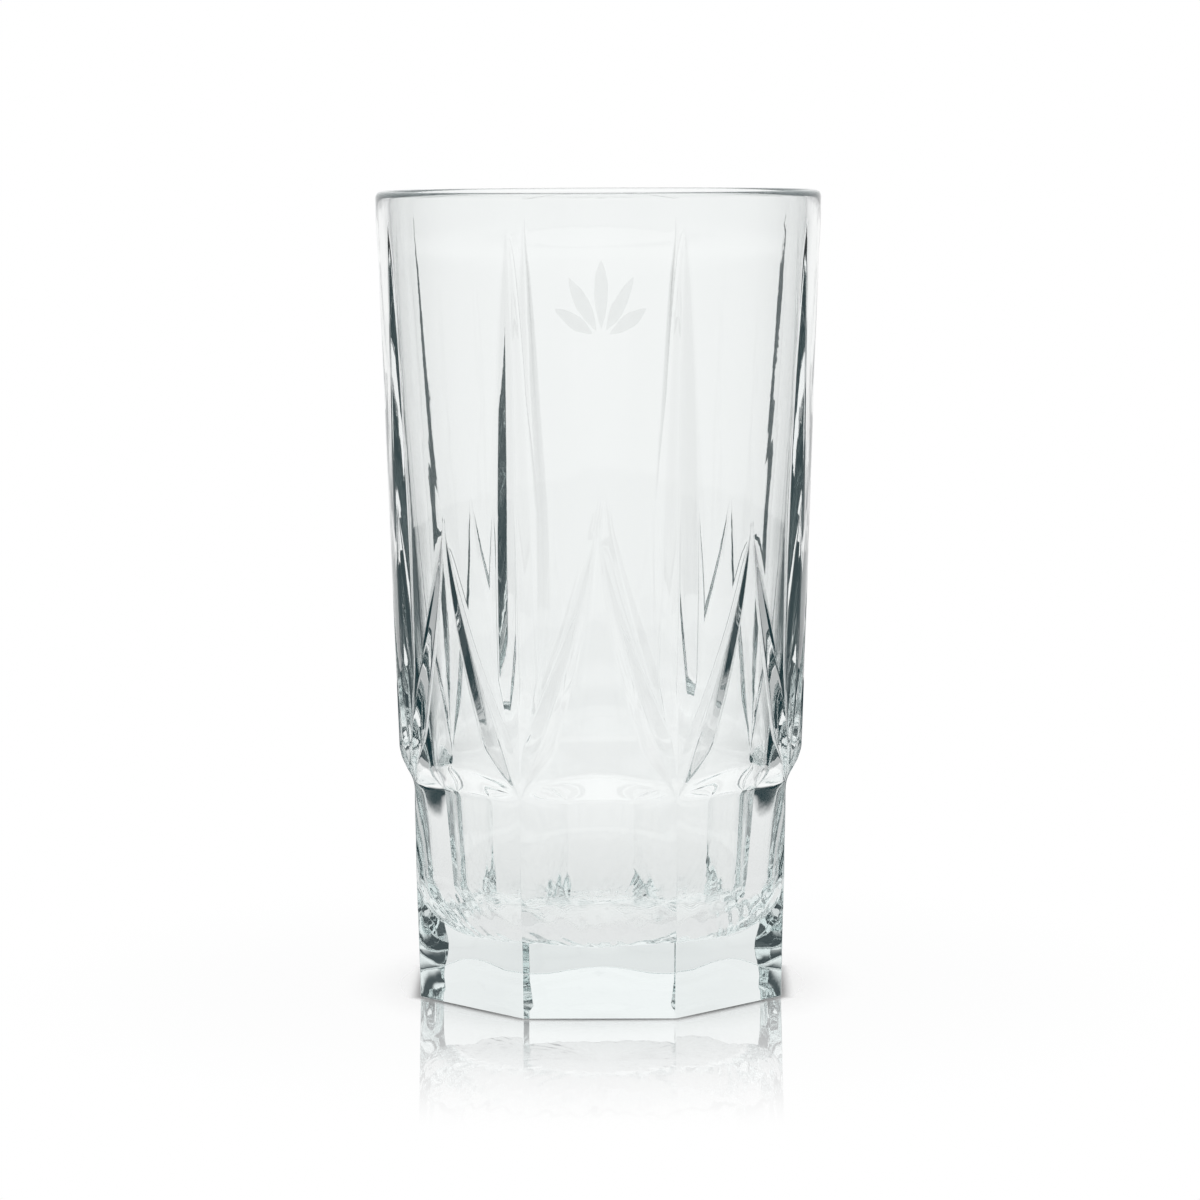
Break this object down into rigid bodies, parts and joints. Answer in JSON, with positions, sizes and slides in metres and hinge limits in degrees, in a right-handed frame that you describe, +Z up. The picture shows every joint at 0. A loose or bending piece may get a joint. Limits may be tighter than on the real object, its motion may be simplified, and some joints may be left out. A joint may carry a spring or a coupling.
{
  "type": "highball glass",
  "caption": "Heavy pressed-glass highball tumbler with an eight-sided foot, fanned mitre grooves, a plain round rim and a small printed leaf ornament.",
  "frame": {"origin": "centre of the underside, on the surface that the glass stands on", "axes": "+Z up along the axis of the glass, -Y towards the plain front panel, +Y towards the printed back panel"},
  "size_m": [0.076, 0.076, 0.1372],
  "materials": {
    "glass": "clear pressed glass, fire polished, with a faint grey-green cast",
    "print": "fired-on translucent white enamel, satin"
  },
  "bodies": {
    "root": {"tumbler": "glass", "print_leaf_far_left": "print", "print_leaf_left": "print", "print_leaf_middle": "print", "print_leaf_right": "print", "print_leaf_far_right": "print"}
  },
  "joints": []
}
